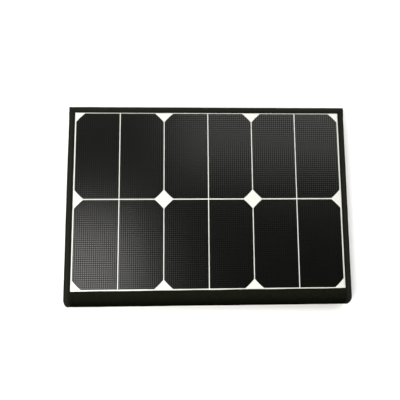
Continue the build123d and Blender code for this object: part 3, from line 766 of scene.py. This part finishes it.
def pocket_top():
    """The pocket's panel, draped by a short cloth simulation over the regulator."""
    height = PANEL_HIGH.z - 0.35 * MM
    turns = [pi / 2 * i / 5 for i in range(6)]
    ys = [PANEL_LOW.y + POCKET_CORNER * (1 - cos(turn)) for turn in turns]
    ys += spread(ys[-1], PANEL_HIGH.y, 4 * MM)[1:]
    columns = 52
    bm = bmesh.new()
    layer = bm.loops.layers.uv.new("cloth")
    rows = []
    for y in ys:
        drop = max(0.0, PANEL_LOW.y + POCKET_CORNER - y)
        half = PANEL_HIGH.x - POCKET_CORNER + sqrt(POCKET_CORNER**2 - drop**2)
        rows.append([bm.verts.new((half * (2 * i / columns - 1), y, height)) for i in range(columns + 1)])
    for low, high in zip(rows, rows[1:]):
        for i in range(columns):
            face = bm.faces.new((low[i], low[i + 1], high[i + 1], high[i]))
            for loop in face.loops:
                loop[layer].uv = loop.vert.co.xy
    cut = sum(face.calc_area() for face in bm.faces)
    data = bpy.data.meshes.new("pocket_top")
    bm.to_mesh(data)
    bm.free()
    piece = new_piece("pocket_top", data)
    drape(piece)
    thick = piece.modifiers.new("thickness", "SOLIDIFY")
    thick.thickness = 0.5 * MM
    thick.offset = 0
    soft = piece.modifiers.new("soft", "SUBSURF")
    soft.levels = soft.render_levels = 1
    apply_modifiers(piece)
    for polygon in piece.data.polygons:
        polygon.use_smooth = True
    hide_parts("pocket_panel")
    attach(piece, "rear_leaf")
    return dress(piece, MATERIALS["cloth"])


def apply_modifiers(piece):
    """The mesh as its modifiers leave it, with none left on the piece."""
    graph = bpy.context.evaluated_depsgraph_get()
    graph.update()
    result = bpy.data.meshes.new_from_object(piece.evaluated_get(graph))
    piece.modifiers.clear()
    piece.data = result


def drape(piece):
    """Lets the panel sag between its sewn edges and the regulator's cover."""
    border = {v for edge in boundary_edges(piece.data) for v in edge}
    group = piece.vertex_groups.new(name="sewn")
    group.add(sorted(border), 1.0, "REPLACE")
    low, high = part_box("regulator_cover")
    bm = bmesh.new()
    place = Matrix.Translation((low + high) / 2) @ Matrix.Diagonal((*(high - low), 1))
    bmesh.ops.create_cube(bm, size=1.0, matrix=place)
    data = bpy.data.meshes.new("drape_form")
    bm.to_mesh(data)
    bm.free()
    form = new_piece("drape_form", data)
    form.modifiers.new("collide", "COLLISION")
    form.collision.thickness_outer = 0.3 * MM
    cloth = piece.modifiers.new("cloth", "CLOTH")
    cloth.settings.mass = 0.15
    cloth.settings.tension_stiffness = 8
    cloth.settings.bending_stiffness = 0.3
    cloth.settings.vertex_group_mass = "sewn"
    cloth.settings.shrink_min = -0.006
    cloth.collision_settings.distance_min = 0.3 * MM
    frames = 20
    for number in range(1, frames + 1):
        bpy.context.scene.frame_set(number)
    graph = bpy.context.evaluated_depsgraph_get()
    settled = [v.co.copy() for v in piece.evaluated_get(graph).data.vertices]
    piece.modifiers.clear()
    deepest_sag = 2.0 * MM
    lowest = PANEL_LOW.z - deepest_sag
    for vertex, place in zip(piece.data.vertices, settled):
        vertex.co = (place.x, place.y, max(place.z, lowest))
    bpy.data.objects.remove(form)
    bpy.context.scene.frame_set(1)


def boundary_edges(data):
    uses = {}
    for polygon in data.polygons:
        for key in polygon.edge_keys:
            uses[key] = uses.get(key, 0) + 1
    return [key for key, count in uses.items() if count == 1]


def zip_tape(which):
    """A woven tape with a bead along the side that carries the teeth."""
    low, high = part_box(f"zip_tape_{which}")
    toward = 1 if which == "lower" else -1
    free_z = high.z if which == "lower" else low.z
    sewn_z = low.z if which == "lower" else high.z
    rings = []
    for x in spread(low.x, high.x, 3 * MM):
        sway = wobble(x, toward, 30 * MM, 0.12 * MM)
        outline = [(high.y - 0.1 * MM, sewn_z), (high.y - 0.1 * MM + sway, free_z - toward * 1.4 * MM)]
        outline += [(high.y + 0.1 * MM, free_z - toward * 0.7 * MM), (high.y, free_z)]
        outline += [(low.y, free_z), (low.y + 0.15 * MM, free_z - toward * 0.9 * MM)]
        outline += [(low.y + 0.15 * MM, sewn_z)]
        rings.append([Vector((x, y, z)) for y, z in outline])
    piece = loft_piece(f"zip_band_{which}", rings, 60)
    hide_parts(f"zip_tape_{which}")
    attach(piece, "rear_leaf")
    return dress(piece, MATERIALS["zip_tape"])


# ---------------------------------------------------------------- CAD pieces that stay
def rounded(node, body, width, material):
    """Stands for a CAD piece, with the same shape and small rounded edges."""
    bm = bmesh.new()
    bm.from_mesh(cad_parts[node].data)
    bmesh.ops.remove_doubles(bm, verts=bm.verts, dist=1e-6)
    flat = 2 * pi / 180  # faces that differ by less are one face
    bmesh.ops.dissolve_limit(bm, angle_limit=flat, verts=bm.verts, edges=bm.edges)
    corner = 35 * pi / 180  # edges sharper than this are rounded
    edges = [e for e in bm.edges if len(e.link_faces) == 2 and e.calc_face_angle(0) > corner]
    bmesh.ops.bevel(bm, geom=edges, offset=width, segments=2, affect="EDGES", clamp_overlap=True)
    bmesh.ops.triangulate(bm, faces=[f for f in bm.faces if len(f.verts) > 4])
    piece = finish_mesh(bm, f"{node}_cast", 50)
    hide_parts(node)
    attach(piece, body)
    return dress(piece, MATERIALS[material])


def paint(node, material):
    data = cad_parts[node].data
    data.materials.clear()
    data.materials.append(MATERIALS[material])


# node: body it rides on, edge radius, material
CAST = {
    "zip_teeth": ("rear_leaf", 0.22 * MM, "zip_teeth"),
    "zip_slider": ("zip_slider", 0.3 * MM, "zip_metal"),
    "zip_pull": ("zip_pull", 0.25 * MM, "zip_metal"),
    "board_components": ("rear_leaf", 0.12 * MM, "components"),
}
KEPT = {
    "regulator_base": "case",
    "regulator_cover": "case",
    "regulator_screws": "steel",
    "usb_socket_1": "socket_metal",
    "usb_socket_2": "socket_metal",
    "dc_socket": "socket_plastic",
    "status_lamp": "lamp",
    "circuit_board": "board",
    "regulator_leads": "lead",
}
KEPT_PER_LEAF = {
    "interconnect_tabs": "ribbon",
    "bus_ribbons": "ribbon",
    "stiffener": "stiffener",
    "junction_block": "potting",
}


def cad_pieces():
    """The parts that keep their CAD shape: zip and board parts get rounded edges, the rest a finish."""
    for node, (body, width, material) in CAST.items():
        rounded(node, body, width, material)
    for node, material in KEPT.items():
        paint(node, material)
    for leaf in LEAVES:
        for name, material in KEPT_PER_LEAF.items():
            paint(f"{leaf}_{name}", material)


# ---------------------------------------------------------------- studio
LIGHT_HEIGHT = 1.05
# name: two opposite corners in X and Y, in metres, and W per square metre of each of its lights
SOFTBOXES = {
    "low_left": ((-1.18, -0.82), (-0.25, 0.03), 13.75),
    "high_right": ((-0.08, 0.25), (1.6, 1.45), 4.6),
}
SOFT_RINGS = (1.0, 0.78, 0.56)  # sizes of a softbox's lights, one inside another, for a soft edge
FLOOR_REACH = 4.0


def softbox(name, low, high, strength):
    """A soft-edged light facing down, between two corners."""
    for ring, share in enumerate(SOFT_RINGS, 1):
        data = bpy.data.lights.new(f"{name}_{ring}", "AREA")
        data.shape = "RECTANGLE"
        data.size = (high[0] - low[0]) * share
        data.size_y = (high[1] - low[1]) * share
        data.energy = strength * data.size * data.size_y
        data.color = (1.0, 0.985, 0.94)
        lamp = new_piece(data.name, data)
        lamp.location = ((low[0] + high[0]) / 2, (low[1] + high[1]) / 2, LIGHT_HEIGHT)


def studio():
    """A pale floor in soft light from all round: dark overhead, and brighter towards +Y."""
    bm = bmesh.new()
    bmesh.ops.create_grid(bm, x_segments=1, y_segments=1, size=FLOOR_REACH)
    floor = finish_mesh(bm, "floor")
    shader = Shader("floor", (0.95, 0.95, 0.95), 0.8)
    shader.tint(shader.noise(2.0), (0.95, 0.95, 0.95), (0.97, 0.97, 0.97))
    floor.data.materials.append(shader.material)
    world = bpy.data.worlds.new("studio")
    bpy.context.scene.world = world
    world.use_nodes = True
    tree = world.node_tree
    tree.nodes["Background"].inputs["Color"].default_value = (1, 1, 1, 1)
    where = tree.nodes.new("ShaderNodeTexCoord").outputs["Generated"]

    def ramp(direction, start, end, low, high):
        """Strength from low to high as a view direction turns towards the given one."""
        turned = tree.nodes.new("ShaderNodeVectorMath")
        turned.operation = "DOT_PRODUCT"
        tree.links.new(where, turned.inputs[0])
        turned.inputs[1].default_value = Vector(direction).normalized()
        made = tree.nodes.new("ShaderNodeMapRange")
        made.interpolation_type = "SMOOTHSTEP"
        tree.links.new(turned.outputs["Value"], made.inputs["Value"])
        settings = {"From Min": start, "From Max": end, "To Min": low, "To Max": high}
        for key, value in settings.items():
            made.inputs[key].default_value = value
        return made.outputs["Result"]

    product = tree.nodes.new("ShaderNodeMath")
    product.operation = "MULTIPLY"
    overhead = (0, -0.4, 0.92)
    far_side = (0, 1, 0)
    tree.links.new(ramp(overhead, 0.42, 0.74, 1.0, 0.0), product.inputs[0])
    tree.links.new(ramp(far_side, -0.9, 0.9, 0.7, 1.9), product.inputs[1])
    tree.links.new(product.outputs[0], tree.nodes["Background"].inputs["Strength"])
    for name, (low_corner, high_corner, strength) in SOFTBOXES.items():
        softbox(name, low_corner, high_corner, strength)


LENS = 33.3  # mm, on a sensor 36 mm wide
SENSOR = 36.0
VIEW_FROM = (-29.5 * MM, -57.3 * MM, 527.9 * MM)  # from the middle of the front cells, at the leaf's top
VIEW_TURN = (6.047, -1.818, -0.402)  # degrees about X, Y and Z, from looking straight down


def camera():
    """A short lens above the pack, a little to the left and towards the fold."""
    data = bpy.data.cameras.new("camera")
    data.lens = LENS
    data.sensor_width = SENSOR
    eye = new_piece("camera", data)
    array_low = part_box("front_cell_6")[0]
    array_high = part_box("front_cell_1")[1]
    middle_y = (array_low.y + array_high.y) / 2
    eye.location = Vector((0, middle_y, THICK)) + Vector(VIEW_FROM)
    eye.rotation_euler = [angle * pi / 180 for angle in VIEW_TURN]
    bpy.context.scene.camera = eye
    bpy.context.scene.view_settings.view_transform = "Standard"


# ---------------------------------------------------------------- everything, in order
for leaf_name in LEAVES:
    for cell_number in CELLS:
        cell_piece(leaf_name, cell_number)
    face_sheet(leaf_name)
    for side_label in SIDES:
        side_tape(leaf_name, side_label)
    end_tape(leaf_name)
    spine_cloth(leaf_name)
    spine_lining(leaf_name)
    jumper(leaf_name)
    back_cloth(leaf_name)
    stitches(leaf_name)
pocket_wall()
pocket_seam()
pocket_top()
zip_tape("lower")
zip_tape("upper")
cad_pieces()
studio()
camera()
